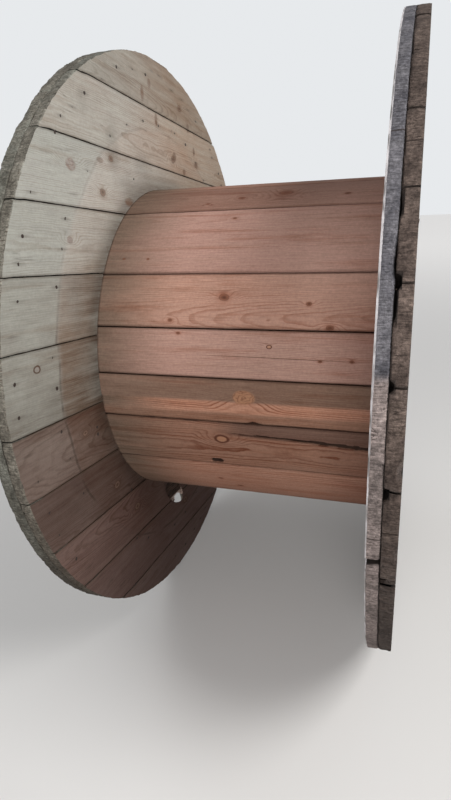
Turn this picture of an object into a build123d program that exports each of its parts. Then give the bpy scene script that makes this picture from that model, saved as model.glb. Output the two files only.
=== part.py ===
from build123d import *
import os
from math import cos, pi, radians, sin, sqrt

# The drum lies on its rims. X is the drum's axis, Z is up and the front is -Y.
# The origin is on the floor, under the middle of the drum.

# Overall sizes
flange_diameter = 1200
barrel_diameter = 680
inner_width = 510

# Flange boards: each flange is two layers of boards, nailed together across each other
inner_layer_thickness = 19
outer_layer_thickness = 22
board_width = 107.4
board_gap = 3
narrowest_board = 45
board_ease = 1.5

# How each layer was laid: the boards' angle about the axis (0 is level, positive lowers the
# front ends), and the width and offset from the axis of the board at the hub
left_inner = {"angle": -12, "hub_width": 124, "offset": -9}
left_outer = {"angle": 78, "hub_width": 124, "offset": 0}
right_inner = {"angle": 49, "hub_width": 107.4, "offset": 0}
right_outer = {"angle": -41, "hub_width": 107.4, "offset": 22}

# Barrel staves: the widths as sawn, laid round the barrel again and again
stave_widths = (154, 100, 87, 86, 111)
stave_thickness = 22
stave_gap = 2.5
stave_ease = 1.5
first_joint_angle = 23.6

# The staves stand in a groove in each flange
groove_depth = 7
groove_clearance = 0.3

# Spindle bore
bore_diameter = 82

# Tie rods, with their square washers and nuts sunk in round pockets in the outer layer
rod_count = 4
rod_circle_diameter = 490
rod_first_angle = 76
rod_diameter = 12
rod_tail = 3
rod_hole_clearance = 0.75
washer_width = 36
washer_thickness = 4
pocket_clearance = 1.5
nut_across_flats = 19
nut_height = 10
thread_clearance = 0.15

# Cable outlet hole, bored on the slant through the left flange beside the barrel, so that it
# comes out further round the drum and nearer to the rim
outlet_diameter = 50
outlet_setback = 49
outlet_angle = 165.5
outlet_slant_out = 50
outlet_slant_round = 80

flange_radius = flange_diameter / 2
barrel_radius = barrel_diameter / 2
flange_thickness = inner_layer_thickness + outer_layer_thickness
inner_face = inner_width / 2
seam_face = inner_face + inner_layer_thickness
outer_face = inner_face + flange_thickness
drum_centre = Pos(0, 0, flange_radius)
past_end = 1


# Angles round the drum are measured from the top towards the front
def turned(angle):
    return Rot(X=angle)


def rod_along_x(radius, start, end):
    cylinder = Cylinder(radius, end - start, align=(Align.CENTER, Align.CENTER, Align.MIN))
    return Pos(start, 0, 0) * Rot(Y=90) * cylinder


# The spans across a layer above and below the hub board, from the hub outwards. A board that
# would be left too narrow at the rim is sawn from one piece with its neighbour.
def spans_beside_hub(layer, direction):
    spans = []
    start = layer["hub_width"] / 2 + direction * layer["offset"] + board_gap
    while start < flange_radius:
        end = start + board_width
        if flange_radius - end < board_gap + narrowest_board:
            end = flange_radius + past_end
        spans.append(sorted((direction * start, direction * end)))
        start = end + board_gap
    return spans


# One layer of the right flange as a disc of boards between its seam and the face that shows,
# named from the hub outwards
def layer_boards(layer, seam, shown, cuts):
    hub_low = layer["offset"] - layer["hub_width"] / 2
    spans = {"hub_board": (hub_low, hub_low + layer["hub_width"])}
    for place, direction in (("upper", 1), ("lower", -1)):
        for number, span in enumerate(spans_beside_hub(layer, direction), start=1):
            spans[f"{place}_board_{number}"] = span
    disc = rod_along_x(flange_radius, min(seam, shown), max(seam, shown))
    boards = {}
    for name, (low, high) in spans.items():
        strip = Box(abs(shown - seam), flange_diameter + 2 * past_end, high - low)
        if shown == inner_face:
            strip = chamfer(strip.edges().filter_by(Axis.Y).group_by(Axis.X)[0], board_ease)
        strip = Pos((seam + shown) / 2, 0, (low + high) / 2) * strip
        boards[name] = turned(layer["angle"]) * (strip & disc) - cuts
    return boards


# The round groove that a flange's staves stand in
def stave_groove():
    outer = rod_along_x(barrel_radius + groove_clearance, inner_face, inner_face + groove_depth)
    inner = rod_along_x(
        barrel_radius - stave_thickness - groove_clearance,
        inner_face - past_end,
        inner_face + groove_depth + past_end,
    )
    return outer - inner


def spindle_bore():
    return rod_along_x(bore_diameter / 2, inner_face - past_end, outer_face + past_end)


def rod_places():
    for index in range(rod_count):
        angle = rod_first_angle + index * 360 / rod_count
        yield turned(angle) * Pos(0, 0, rod_circle_diameter / 2)


def rod_holes():
    radius = rod_diameter / 2 + rod_hole_clearance
    hole = rod_along_x(radius, inner_face - past_end, seam_face + past_end)
    return [place * hole for place in rod_places()]


def nut_pockets():
    radius = washer_width * sqrt(2) / 2 + pocket_clearance
    pocket = rod_along_x(radius, seam_face - past_end, outer_face + past_end)
    return [place * pocket for place in rod_places()]


# The outlet hole's slanting cutter, placed for the right flange and mirrored to the left
def outlet_cutter():
    centre = Vector(inner_face, 0, barrel_radius + outlet_setback)
    slant = Vector(flange_thickness, -outlet_slant_round, outlet_slant_out)
    start = centre - slant
    axis = Plane(origin=start, z_dir=slant)
    length = 3 * slant.length
    cutter = axis * Cylinder(outlet_diameter / 2, length, align=(Align.CENTER, Align.CENTER, Align.MIN))
    return turned(outlet_angle) * cutter


def on_left(piece):
    return mirror(piece, Plane.YZ)


def on_right(piece):
    return piece


# One stave, its middle on top: flat inside, round outside, with its long edges eased
def stave(share):
    half = radians(share) / 2 - stave_gap / (2 * barrel_radius)
    eased = half - stave_ease / barrel_radius
    inner = barrel_radius - stave_thickness
    below_ease = barrel_radius - stave_ease
    side_foot = inner / cos(half)
    outline = Curve() + [
        Polyline(
            (below_ease * sin(-half), below_ease * cos(half)),
            (side_foot * sin(-half), side_foot * cos(half)),
            (side_foot * sin(half), side_foot * cos(half)),
            (below_ease * sin(half), below_ease * cos(half)),
            (barrel_radius * sin(eased), barrel_radius * cos(eased)),
        ),
        ThreePointArc(
            (barrel_radius * sin(eased), barrel_radius * cos(eased)),
            (0, barrel_radius),
            (barrel_radius * sin(-eased), barrel_radius * cos(eased)),
        ),
        Line(
            (barrel_radius * sin(-eased), barrel_radius * cos(eased)),
            (below_ease * sin(-half), below_ease * cos(half)),
        ),
    ]
    half_length = inner_face + groove_depth
    return extrude(Plane.YZ.offset(-half_length) * make_face(outline), 2 * half_length)


# The staves round the barrel: the sawn widths repeat until they close the circle
def staves():
    repeats = round(pi * barrel_diameter / sum(stave_widths))
    share_per_width = 360 / (repeats * sum(stave_widths))
    angle = first_joint_angle
    pieces = []
    for width in stave_widths * repeats:
        share = width * share_per_width
        pieces.append(turned(angle + share / 2) * stave(share))
        angle += share
    return pieces


def tie_rod():
    end = seam_face + washer_thickness + nut_height + rod_tail
    return rod_along_x(rod_diameter / 2, -end, end)


def washer():
    radius = rod_diameter / 2 + rod_hole_clearance
    plate = extrude(Plane.YZ.offset(seam_face) * Rectangle(washer_width, washer_width), washer_thickness)
    return plate - rod_along_x(radius, seam_face - past_end, outer_face)


def nut():
    start = seam_face + washer_thickness
    hexagon = RegularPolygon(nut_across_flats / 2, 6, major_radius=False)
    body = extrude(Plane.YZ.offset(start) * hexagon, nut_height)
    return body - rod_along_x(rod_diameter / 2 + thread_clearance, start - past_end, outer_face)


def write_node(name, solids):
    placed = [drum_centre * solid for solid in solids]
    node = placed[0] if len(placed) == 1 else Compound(children=placed)
    export_step(node, f"parts/{name}.step")


def write_flange(side, inner_layer, outer_layer, finish, extra_cuts):
    inner_cuts = [stave_groove(), spindle_bore()] + rod_holes() + extra_cuts
    outer_cuts = [spindle_bore()] + nut_pockets() + extra_cuts
    inner = layer_boards(inner_layer, seam_face, inner_face, inner_cuts)
    outer = layer_boards(outer_layer, seam_face, outer_face, outer_cuts)
    for name, board in inner.items():
        write_node(f"{side}_inner_{name}", [finish(board)])
    write_node(f"{side}_outer_hub_board", [finish(outer.pop("hub_board"))])
    write_node(f"{side}_outer_boards", [finish(board) for board in outer.values()])
    for name, piece in (("washers", washer()), ("nuts", nut())):
        write_node(f"{side}_tie_rod_{name}", [finish(place * piece) for place in rod_places()])


os.makedirs("parts", exist_ok=True)
write_flange("left", left_inner, left_outer, on_left, [outlet_cutter()])
write_flange("right", right_inner, right_outer, on_right, [])

for number, piece in enumerate(staves(), start=1):
    write_node(f"barrel_stave_{number:02}", [piece])

for number, place in enumerate(rod_places(), start=1):
    write_node(f"tie_rod_{number}", [place * tie_rod()])
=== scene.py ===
import math
import random
from types import SimpleNamespace

import bpy
import numpy as np
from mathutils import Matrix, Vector, noise


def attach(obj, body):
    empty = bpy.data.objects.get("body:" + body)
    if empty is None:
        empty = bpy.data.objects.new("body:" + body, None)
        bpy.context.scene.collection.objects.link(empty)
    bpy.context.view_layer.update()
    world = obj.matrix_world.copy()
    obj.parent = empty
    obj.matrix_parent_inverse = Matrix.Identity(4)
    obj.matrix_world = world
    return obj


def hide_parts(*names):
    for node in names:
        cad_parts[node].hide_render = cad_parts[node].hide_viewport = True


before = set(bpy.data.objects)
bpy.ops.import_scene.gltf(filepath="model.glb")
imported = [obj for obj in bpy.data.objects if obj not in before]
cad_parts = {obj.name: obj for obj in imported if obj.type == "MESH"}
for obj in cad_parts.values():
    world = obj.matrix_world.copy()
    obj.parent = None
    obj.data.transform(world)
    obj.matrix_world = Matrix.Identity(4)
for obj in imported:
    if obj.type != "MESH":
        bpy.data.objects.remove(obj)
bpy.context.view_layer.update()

# Wooden cable drum, lying on its rims. X is its axis, -Y the front, sizes in metres
drum = {
    "centre": 0.6, "radius": 0.6, "barrel": 0.34, "staveThickness": 0.022, "staveReach": 0.262, "bore": 0.041,
    "rimSteps": 900, "barrelSteps": 720, "smoothAngle": 28,
    "cutterOver": 0.001,  # how far a cutter stands out of what it cuts
}
middle = Vector((0, 0, drum["centre"]))


def say(text):
    print("drum:", text, flush=True)


def deselectAll():
    if bpy.context.object and bpy.context.object.mode != "OBJECT":
        bpy.ops.object.mode_set(mode="OBJECT")
    bpy.ops.object.select_all(action="DESELECT")


def pick(*pieces):
    deselectAll()
    for piece in pieces:
        piece.select_set(True)
    bpy.context.view_layer.objects.active = pieces[-1]


def editAll(piece):
    pick(piece)
    bpy.ops.object.mode_set(mode="EDIT")
    bpy.ops.mesh.select_all(action="SELECT")


def backToObject():
    bpy.ops.object.mode_set(mode="OBJECT")


def bakePlace(piece):
    pick(piece)
    bpy.ops.object.transform_apply(location=True, rotation=True, scale=True)


def copyOf(piece, name):
    twin = piece.copy()
    twin.data = piece.data.copy()
    twin.name = name
    bpy.context.scene.collection.objects.link(twin)
    return twin


def throwAway(piece):
    mesh = piece.data
    bpy.data.objects.remove(piece)
    bpy.data.meshes.remove(mesh)


def joinAll(pieces, name):
    pick(*pieces)
    if len(pieces) > 1:
        bpy.ops.object.join()
    joined = bpy.context.object
    joined.name = name
    return joined


def addRod(name, radius, start, end, steps=48, y=0.0, z=0.0):
    deselectAll()
    bpy.ops.mesh.primitive_cylinder_add(
        vertices=steps, radius=radius, depth=end - start, end_fill_type="NGON",
        location=((start + end) / 2, y, z + drum["centre"]), rotation=(0, math.pi / 2, 0))
    rod = bpy.context.object
    rod.name = name
    bakePlace(rod)
    return rod


def cutOut(piece, cutter):
    pick(piece)
    cut = piece.modifiers.new("cut", "BOOLEAN")
    cut.operation = "DIFFERENCE"
    cut.solver = "EXACT"
    cut.object = cutter
    bpy.ops.object.modifier_apply(modifier=cut.name)
    throwAway(cutter)


def cutPlace(point, normal, **settings):
    bpy.ops.mesh.select_all(action="SELECT")
    bpy.ops.mesh.bisect(plane_co=point, plane_no=normal, **settings)


# Angles round the drum go from the top towards the front
def roundDrum(angle, radius):
    turn = math.radians(angle)
    return -radius * math.sin(turn), radius * math.cos(turn)


# The way that such an angle grows
def wayRound(turn):
    return Vector((0, -math.cos(turn), -math.sin(turn)))


# Points of a piece with the drum's axis at zero height
def pointsOf(piece):
    points = np.zeros(len(piece.data.vertices) * 3, np.float32)
    piece.data.vertices.foreach_get("co", points)
    points = points.reshape(-1, 3).astype(float)
    points[:, 2] -= drum["centre"]
    return points


def putPoints(piece, points):
    moved = points.copy()
    moved[:, 2] += drum["centre"]
    piece.data.vertices.foreach_set("co", moved.astype(np.float32).ravel())
    piece.data.update()


# Where points lie round the drum in degrees, and how far from the axis
def turnAndReach(points):
    return np.degrees(np.arctan2(-points[:, 1], points[:, 2])), np.hypot(points[:, 1], points[:, 2])


# 1 at the middle of a spot, 0 from its half size outwards
def within(distance, halfSize):
    return np.clip(1 - np.abs(distance) / halfSize, 0, 1)


waveSizes = (0.060, 0.016, 0.0060)


def wobble(points, size, seed):
    shift = Vector((seed * 3.17, seed * 1.73, seed * 2.31))
    return np.array([noise.noise(Vector(point) / size + shift) for point in points])


# Coarse, medium and fine waves over the points
def wavesOf(points, *seeds):
    return [wobble(points, size, seed) for size, seed in zip(waveSizes, seeds)]


# An even share with some of each wave on top
def uneven(waves, even, *shares):
    for wave, share in zip(waves, shares):
        even = even + share * wave
    return even


def storeVector(piece, name, values):
    layer = piece.data.attributes.new(name, "FLOAT_VECTOR", "POINT")
    layer.data.foreach_set("vector", np.asarray(values, np.float32).ravel())


# What the wood materials read: the place in the piece's grain, and its number, half width and wear
def storeGrain(piece, grain, number, halfWidth, wear):
    storeVector(piece, "grain", np.stack(grain, 1))
    same = np.ones(len(wear))
    storeVector(piece, "board", np.stack([same * number, same * halfWidth, wear], 1))


def finishPiece(piece, material, slotName, *nodes, smoothAngle=None):
    if smoothAngle:
        pick(piece)
        bpy.ops.object.shade_smooth_by_angle(angle=math.radians(smoothAngle))
    piece.data.materials.clear()
    piece.data.materials.append(material)
    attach(piece, "root")
    if nodes:
        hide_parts(*nodes)


# The four layers of boards: seam is the face against the other layer, shown the one that is seen.
# Wear: corner is the shown rim edge, seamEdge the hidden one, joint the boards' corners, and
# close is how far a board's sides stand into the gap, as swollen boards do
layers = {
    "left_inner": {
        "seam": -0.274, "shown": -0.255, "angle": -12, "hubWidth": 0.124, "offset": -0.009,
        "corner": 0.0014, "seamEdge": 0.0022, "rough": 0.0014, "joint": 0.0016, "ease": 0.0004,
        "close": 0.0007},
    "left_outer": {
        "seam": -0.274, "shown": -0.296, "angle": 78, "hubWidth": 0.124, "offset": 0.0,
        "corner": 0.0026, "seamEdge": 0.0018, "rough": 0.0018, "joint": 0.0018, "ease": 0.0008,
        "close": 0.0},
    "right_inner": {
        "seam": 0.274, "shown": 0.255, "angle": 49, "hubWidth": 0.1074, "offset": 0.0,
        "corner": 0.0020, "seamEdge": 0.0026, "rough": 0.0010, "joint": 0.0010, "ease": 0.0006,
        "close": 0.0008},
    "right_outer": {
        "seam": 0.274, "shown": 0.296, "angle": -41, "hubWidth": 0.1074, "offset": 0.022,
        "corner": 0.0022, "seamEdge": 0.0028, "rough": 0.0018, "joint": 0.0024, "ease": 0.0010,
        "close": 0.0},
}
boards = {
    "width": 0.1074, "gap": 0.003, "narrowest": 0.045, "stripStep": 0.010, "stripReach": 0.570,
    "edgeLoops": (0.0009, 0.0022, 0.0048, 0.0078), "outerRecess": 0.0010,
    "cornerReach": 0.0016, "seamReach": 0.0017, "jointReach": 0.0045, "easeReach": 0.0015,
    "mostWear": 0.026, "wearFade": 0.020, "mostEase": 0.003, "onFace": 1e-5, "onSide": 2e-5,
    # how uneven each kind of wear is: its even share, then the shares of the three waves
    "cornerWaves": (0.7, 0.4, 0.9), "seamWaves": (0.7, 0.8, 1.0), "roughWaves": (0.35, 0.10, 0.35, 0.65),
    "jointWaves": (0.8, 0.8), "biteWaves": (1, 0, 0.5), "easeWaves": (0.7, 0, 0.8),
    "sideWaves": (0, 0.0004, 0, 0.0003),
}
# Pieces broken out of a rim: angle round the drum, x, half length, half width, depth
bites = {
    "right_outer": [
        (62.6, 0.274, 0.0085, 0.0070, 0.060), (65.0, 0.274, 0.026, 0.0042, 0.024),
        (54.0, 0.274, 0.018, 0.0030, 0.016), (74.1, 0.274, 0.008, 0.0065, 0.024),
        (87.0, 0.274, 0.010, 0.008, 0.024), (100.8, 0.274, 0.008, 0.009, 0.020),
        (84.0, 0.296, 0.016, 0.006, 0.006), (30.0, 0.296, 0.018, 0.006, 0.005),
        (96.0, 0.296, 0.016, 0.005, 0.005)],
    "right_inner": [
        (97.7, 0.260, 0.010, 0.020, 0.016), (60.5, 0.274, 0.034, 0.004, 0.010),
        (86.5, 0.260, 0.007, 0.006, 0.005)],
    "left_inner": [(14.0, -0.274, 0.020, 0.006, 0.003)],
    "left_outer": [(35.0, -0.296, 0.030, 0.010, 0.004), (65.0, -0.296, 0.022, 0.008, 0.004)],
}
# Cable outlet: where its axis meets the inner face, its slant (out, round, towards the rim)
outlet = {"diameter": 0.050, "reach": 0.389, "angle": 165.5, "slant": (-0.041, -0.080, 0.050)}
pockets = {"circle": 0.245, "first": 76, "count": 4, "hole": 0.00675, "pocket": 0.02696}
groove = {"outer": 0.3403, "inner": 0.3177, "depth": 0.007}


def axesOf(layer):
    turn = math.radians(layer["angle"])
    return Vector((0, math.cos(turn), math.sin(turn))), Vector((0, -math.sin(turn), math.cos(turn)))


def spansOf(layer):
    low = layer["offset"] - layer["hubWidth"] / 2
    spans = {"hub_board": (low, low + layer["hubWidth"])}
    for place, direction in (("upper", 1), ("lower", -1)):
        start = layer["hubWidth"] / 2 + direction * layer["offset"] + boards["gap"]
        number = 1
        while start < drum["radius"]:
            end = start + boards["width"]
            if drum["radius"] - end < boards["gap"] + boards["narrowest"]:
                end = drum["radius"] + 0.001
            spans[f"{place}_board_{number}"] = tuple(sorted((direction * start, direction * end)))
            start = end + boards["gap"]
            number += 1
    return spans


# The outlet's middle on the inner face, and its slant, both from the drum's axis
def outletLine():
    y, z = roundDrum(outlet["angle"], outlet["reach"])
    out, sideways, rimward = outlet["slant"]
    turn = math.radians(outlet["angle"])
    slant = Vector((
        out,
        sideways * math.cos(turn) - rimward * math.sin(turn),
        sideways * math.sin(turn) + rimward * math.cos(turn)))
    return Vector((0, y, z)), slant


def outletCutter():
    start, slant = outletLine()
    start.x = layers["left_inner"]["shown"]
    deselectAll()
    bpy.ops.mesh.primitive_cylinder_add(
        vertices=40, radius=outlet["diameter"] / 2, depth=slant.length * 3, end_fill_type="NGON",
        location=start + middle + slant / 2, rotation=slant.to_track_quat("Z", "Y").to_euler())
    cutter = bpy.context.object
    bakePlace(cutter)
    return cutter


def cutHoles(disc, key, layer, low, high):
    over = drum["cutterOver"]
    cutOut(disc, addRod("boreCutter", drum["bore"], low - over, high + over, 64))
    inner = key.endswith("inner")
    if inner:
        foot = layer["shown"] + math.copysign(groove["depth"], layer["shown"])
        start, end = sorted((layer["shown"] - math.copysign(over, layer["shown"]), foot))
        ring = addRod("grooveCutter", groove["outer"], start, end, 240)
        cutOut(ring, addRod("grooveCore", groove["inner"], start - over, end + over, 240))
        cutOut(disc, ring)
    for index in range(pockets["count"]):
        y, z = roundDrum(pockets["first"] + index * 360 / pockets["count"], pockets["circle"])
        radius = pockets["hole"] if inner else pockets["pocket"]
        cutOut(disc, addRod("rodCutter", radius, low - over, high + over, 20 if inner else 40, y, z))
    if key.startswith("left"):
        cutOut(disc, outletCutter())


# Worn rim and eased edges: points only move in the plane of the flange, so the flat faces stay flat
def wearBoard(board, key, layer, span, seed):
    points = pointsOf(board)
    acrossAxis = np.array(axesOf(layer)[1])
    across = points @ acrossAxis
    angle, reach = turnAndReach(points)
    fromShown = np.abs(points[:, 0] - layer["shown"])
    fromSeam = np.abs(points[:, 0] - layer["seam"])
    low, high = span
    toLow = across - low if low > -drum["radius"] else np.full(len(points), 1.0)
    toHigh = high - across if high < drum["radius"] else np.full(len(points), 1.0)
    waves = wavesOf(points, seed, seed + 4, seed + 9)
    corner = np.exp(-(fromShown / boards["cornerReach"]) ** 2)
    seamEdge = np.exp(-(fromSeam / boards["seamReach"]) ** 2)
    atJoint = np.exp(-np.clip(np.minimum(toLow, toHigh), 0, 1) / boards["jointReach"])
    retreat = layer["corner"] * corner * uneven(waves, *boards["cornerWaves"])
    retreat += layer["seamEdge"] * seamEdge * uneven(waves, *boards["seamWaves"])
    retreat += layer["rough"] * uneven(waves, *boards["roughWaves"])
    atCorner = atJoint * (0.35 + np.maximum(corner, seamEdge))
    retreat += layer["joint"] * atCorner * uneven(waves, *boards["jointWaves"])
    for biteAngle, biteX, halfLength, halfWidth, depth in bites[key]:
        arc = np.radians((angle - biteAngle + 180) % 360 - 180) * drum["radius"]
        share = within(arc, halfLength) ** 0.8 * within(points[:, 0] - biteX, halfWidth) ** 0.6
        retreat += depth * share * uneven(waves, *boards["biteWaves"])
    fade = within(drum["radius"] - reach, boards["wearFade"])
    retreat = np.clip(retreat, 0, boards["mostWear"]) * fade
    points[:, 1:] *= ((reach - retreat) / np.maximum(reach, 1e-6))[:, None]
    ease = np.exp(-(fromShown / boards["easeReach"]) ** 2) * uneven(waves, *boards["easeWaves"])
    ease += 0.5 * np.exp(-(fromSeam / boards["easeReach"]) ** 2)
    ease = layer["ease"] * ease + uneven(waves, *boards["sideWaves"])
    ease = np.clip(ease, 0, boards["mostEase"]) - layer["close"]
    for gapTo, direction in ((toLow, 1), (toHigh, -1)):
        onSide = np.abs(gapTo) < boards["onSide"]
        points[onSide] += np.outer(ease[onSide] * direction, acrossAxis)
    # a side that was pushed out stays inside the rim's circle
    swollen = np.maximum(turnAndReach(points)[1] / (drum["radius"] - retreat), 1.0)
    points[:, 1:] /= swollen[:, None]
    if key.endswith("outer"):
        points[fromShown < boards["onFace"], 0] -= math.copysign(boards["outerRecess"], layer["shown"])
    putPoints(board, points)
    return retreat


def makeLayer(key):
    layer = layers[key]
    low, high = sorted((layer["seam"], layer["shown"]))
    along, across = axesOf(layer)
    disc = addRod("disc", drum["radius"], low, high, drum["rimSteps"])
    cutHoles(disc, key, layer, low, high)
    spans = spansOf(layer)
    blanks = []
    for name, (start, end) in spans.items():
        blank = copyOf(disc, name)
        editAll(blank)
        if start > -drum["radius"]:
            cutPlace(middle + across * start, across, use_fill=True, clear_inner=True)
        if end < drum["radius"]:
            cutPlace(middle + across * end, across, use_fill=True, clear_outer=True)
        backToObject()
        blanks.append(blank)
    throwAway(disc)
    editAll(joinAll(blanks, key))
    for loop in boards["edgeLoops"]:
        cutPlace((low + loop, 0, 0), (1, 0, 0))
        cutPlace((high - loop, 0, 0), (1, 0, 0))
    place = -boards["stripReach"]
    while place <= boards["stripReach"] + 1e-9:
        cutPlace(middle + along * place, along)
        place += boards["stripStep"]
    bpy.ops.mesh.select_all(action="SELECT")
    bpy.ops.mesh.separate(type="LOOSE")
    backToObject()
    made = {}
    for piece in list(bpy.context.selected_objects):
        acrossMean = float(np.mean(pointsOf(piece) @ np.array(across)))
        name = min(spans, key=lambda n: abs(sum(spans[n]) / 2 - acrossMean))
        made.setdefault(name, []).append(piece)
    for index, name in enumerate(spans):
        board = joinAll(made[name], f"{key}_{name}_worn")
        points = pointsOf(board)
        start, end = max(spans[name][0], -drum["radius"]), min(spans[name][1], drum["radius"])
        grain = [points @ np.array(along), points @ np.array(across) - (start + end) / 2,
                 np.abs(points[:, 0] - layer["shown"])]
        retreat = wearBoard(board, key, layer, spans[name], seed=index + 11 * list(layers).index(key))
        storeGrain(board, grain, index, (end - start) / 2, retreat)
        node = f"{key}_{name}" if key.endswith("inner") or name == "hub_board" else f"{key}_boards"
        slotName = "left_flange_pine" if key.startswith("left") else "right_flange_pine"
        finishPiece(board, layerWood[key], slotName, node, smoothAngle=drum["smoothAngle"])
    say(f"{key} boards made")


# Torn wood left in the cable outlet: splinters along the inner layer's grain. Each row runs from
# wall to wall, and a torn end only from the one share of that way to the other
splinters = {
    "rows": (-0.3525, -0.4000), "rowStep": 0.0052, "width": 0.0066, "thick": 0.0036,
    "depths": (0.0050, 0.0110), "root": 0.006, "cuts": (-0.4, -0.25, -0.1, 0.1, 0.25, 0.4), "seed": 7,
    "wallStep": 0.0005, "wallSteps": 140,
    "torn": [(-0.4045, 0.0, 0.42), (-0.4045, 0.72, 1.0), (-0.4095, 0.0, 0.34), (-0.4090, 0.82, 1.0),
             (-0.4145, 0.0, 0.24), (-0.4140, 0.90, 1.0)],
}


# Where a row at one place across meets the outlet's slanting mouth
def mouthWalls(across):
    start, slant = outletLine()
    alongAxis, acrossAxis = axesOf(layers["left_inner"])
    out = abs(slant.x)
    slant.x = 0
    radius = outlet["diameter"] / 2
    longRadius = radius * math.hypot(slant.length, out) / out
    longWay = Vector((slant.dot(alongAxis), slant.dot(acrossAxis))).normalized()
    shortWay = Vector((-longWay.y, longWay.x))
    centre = Vector((start.dot(alongAxis), start.dot(acrossAxis)))
    inside = []
    for step in range(-splinters["wallSteps"], splinters["wallSteps"] + 1):
        along = centre.x + step * splinters["wallStep"]
        place = Vector((along, across)) - centre
        if (place.dot(longWay) / longRadius) ** 2 + (place.dot(shortWay) / radius) ** 2 < 1:
            inside.append(along)
    return (min(inside), max(inside)) if inside else None


# One splinter: a thin bar whose free end, if it has one, runs out to a ragged point
def addSplinter(start, end, across, depth, freeEnd, chance):
    layer = layers["left_inner"]
    length = end - start
    alongAxis, acrossAxis = axesOf(layer)
    deselectAll()
    bpy.ops.mesh.primitive_cube_add(size=1, location=(0, 0, 0))
    bar = bpy.context.object
    width = splinters["width"] * chance.uniform(0.85, 1.25)
    bar.scale = (splinters["thick"] * chance.uniform(0.7, 1.2), length, width)
    bakePlace(bar)
    editAll(bar)
    for share in splinters["cuts"]:
        cutPlace((0, share * length, 0), (0, 1, 0))
    backToObject()
    for vertex in bar.data.vertices:
        share = vertex.co.y / length + 0.5
        vertex.co.z += chance.uniform(-0.0007, 0.0007)
        vertex.co.x += chance.uniform(-0.0005, 0.0005)
        if freeEnd:
            thin = min(1.0, 0.12 + 1.6 * (1 - share if freeEnd > 0 else share))
            vertex.co.x *= thin
            vertex.co.z = vertex.co.z * thin + (1 - thin) * chance.uniform(-0.0012, 0.0012)
    bar.rotation_euler = (math.radians(layer["angle"]), 0, 0)
    bar.location = alongAxis * ((start + end) / 2) + acrossAxis * across + Vector((
        layer["shown"] - depth, 0, drum["centre"]))
    bakePlace(bar)
    return bar


def makeSplinters():
    chance = random.Random(splinters["seed"])
    root = splinters["root"]
    bars = []
    across = splinters["rows"][0]
    while across >= splinters["rows"][1]:
        walls = mouthWalls(across)
        if walls:
            for depth in splinters["depths"]:
                bars.append(addSplinter(
                    walls[0] - root, walls[1] + root, across + chance.uniform(-0.0008, 0.0008),
                    depth + chance.uniform(-0.001, 0.001), 0, chance))
        across -= splinters["rowStep"]
    for across, first, last in splinters["torn"]:
        walls = mouthWalls(across)
        start, end = (walls[0] + share * (walls[1] - walls[0]) for share in (first, last))
        if first == 0.0:
            bars.append(addSplinter(start - root, end, across, splinters["depths"][0], 1, chance))
        else:
            bars.append(addSplinter(start, end + root, across, splinters["depths"][0], -1, chance))
    torn = joinAll(bars, "outlet_splinters")
    points = pointsOf(torn)
    along, across = axesOf(layers["left_inner"])
    depth = np.abs(points[:, 0] - layers["left_inner"]["shown"])
    storeVector(torn, "grain", np.stack([points @ np.array(along), points @ np.array(across), depth], 1))
    finishPiece(torn, tornWood, "left_flange_pine")
    say("outlet splinters made")


# Colours of three numbers are as read off a screen, 0 to 255, and those of four are as Blender has them
def paint(*screen):
    straight = [((v / 255 + 0.055) / 1.055) ** 2.4 if v > 10 else v / 255 / 12.92 for v in screen]
    return (*straight, 1)


# The node functions below all work in the tree of the material that was started last
def startMaterial(name):
    global tree
    material = bpy.data.materials.new(name)
    material.use_nodes = True
    tree = material.node_tree
    return material


def feed(socket, value):
    if isinstance(value, bpy.types.NodeSocket):
        tree.links.new(value, socket)
    elif socket.type == "RGBA" and len(value) == 3:
        socket.default_value = paint(*value)
    else:
        socket.default_value = value


def addNode(kind, inputs, **settings):
    node = tree.nodes.new("ShaderNode" + kind)
    for name, value in settings.items():
        setattr(node, name, value)
    for name, value in inputs.items():
        feed(node.inputs[name], value)
    return node


def calc(operation, *values, clamp=False):
    return addNode("Math", dict(enumerate(values)), operation=operation, use_clamp=clamp).outputs[0]


def times(first, *others):
    for other in others:
        first = calc("MULTIPLY", first, other)
    return first


def plus(first, *others):
    for other in others:
        first = calc("ADD", first, other)
    return first


def minus(first, second):
    return calc("SUBTRACT", first, second)


def scaled(value, factor, shift, clamp=False):
    return calc("MULTIPLY_ADD", value, factor, shift, clamp=clamp)


# A noise value, 0 to 1, as a push to either side, or as a factor round 1
def centred(value, size):
    return scaled(value, size, -size / 2)


def swing(value, amount):
    return scaled(value, amount * 2, 1 - amount)


def least(first, second):
    return second if first is None else calc("MINIMUM", first, second)


def ramp(value, fromLow, fromHigh, toLow=0.0, toHigh=1.0):
    inputs = {"Value": value, "From Min": fromLow, "From Max": fromHigh, "To Min": toLow, "To Max": toHigh}
    return addNode("MapRange", inputs, interpolation_type="SMOOTHSTEP").outputs["Result"]


# 1 near zero, to either side, and 0 further off
def lineAt(value, near, far):
    return ramp(calc("ABSOLUTE", value), near, far, 1.0, 0.0)


def blend(share, first, second, mode="MIX"):
    node = addNode("Mix", {}, data_type="RGBA", blend_type=mode)
    for number, value in ((0, share), (6, first), (7, second)):
        feed(node.inputs[number], value)
    return node.outputs[2]


def tint(colour, second):
    return blend(1.0, colour, second, "MULTIPLY")


def vector(x, y, z):
    return addNode("CombineXYZ", {"X": x, "Y": y, "Z": z}).outputs[0]


def darken(colour, value):
    return tint(colour, vector(value, value, value))


def split(place):
    return addNode("SeparateXYZ", {"Vector": place}).outputs


def vectorMath(operation, *values):
    return addNode("VectorMath", dict(enumerate(values)), operation=operation).outputs["Value"]


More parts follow.
